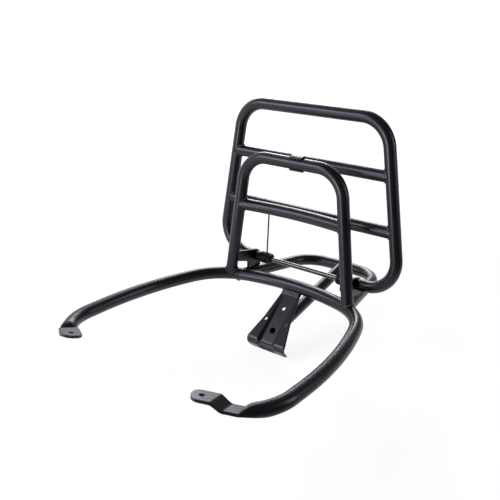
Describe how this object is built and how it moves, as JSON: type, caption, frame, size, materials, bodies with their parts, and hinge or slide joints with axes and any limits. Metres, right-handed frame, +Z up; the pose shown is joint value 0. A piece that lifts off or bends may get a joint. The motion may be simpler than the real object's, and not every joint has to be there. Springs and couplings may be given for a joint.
{
  "type": "folding scooter rear rack",
  "caption": "Folding rear luggage rack in bent round tube: horseshoe base with bolt tabs, upright hoop, sprung hinged platform, support loop, tail bracket and strut.",
  "frame": {"origin": "middle of the tail bracket's bolt face, half-way between its two bolt holes", "axes": "+X to the right across the scooter, +Y to the rear, +Z up"},
  "size_m": [0.3444, 0.4646, 0.3355],
  "materials": {
    "powder_coat": "satin black powder coat",
    "bare_steel": "dull drawn steel with a brown tint",
    "spring_steel": "dark oiled spring wire",
    "bearing_plastic": "plain moulded black",
    "clip_plastic": "half-gloss moulded black"
  },
  "bodies": {
    "frame": {"base_tube": "powder_coat", "hoop_tube": "powder_coat", "hoop_crossbar": "powder_coat", "support_loop": "powder_coat", "tail_bracket": "powder_coat", "bracket_strut": "powder_coat", "hinge_lug_left": "powder_coat", "hinge_lug_right": "powder_coat", "lug_bush_left": "bearing_plastic", "lug_bush_right": "bearing_plastic", "pivot_rod": "bare_steel", "spring_sleeve_left": "bearing_plastic", "spring_sleeve_right": "bearing_plastic"},
    "platform": {"platform_tube": "powder_coat", "platform_upper_crossbar": "powder_coat", "platform_lower_crossbar": "powder_coat", "platform_end_plug_left": "bearing_plastic", "platform_end_plug_right": "bearing_plastic", "torsion_spring_left": "spring_steel", "torsion_spring_right": "spring_steel", "retaining_clip": "clip_plastic"}
  },
  "joints": [
    {"name": "platform_fold", "type": "hinge", "parent": "frame", "child": "platform", "pos_m": [0, 0.06085, 0.05805], "axis": [-1, 0, 0], "range_deg": [0, 96.4], "stiffness_Nm_per_rad": 0.66, "springref_deg": -31.51, "deforming": ["torsion_spring_left", "torsion_spring_right"]}
  ]
}
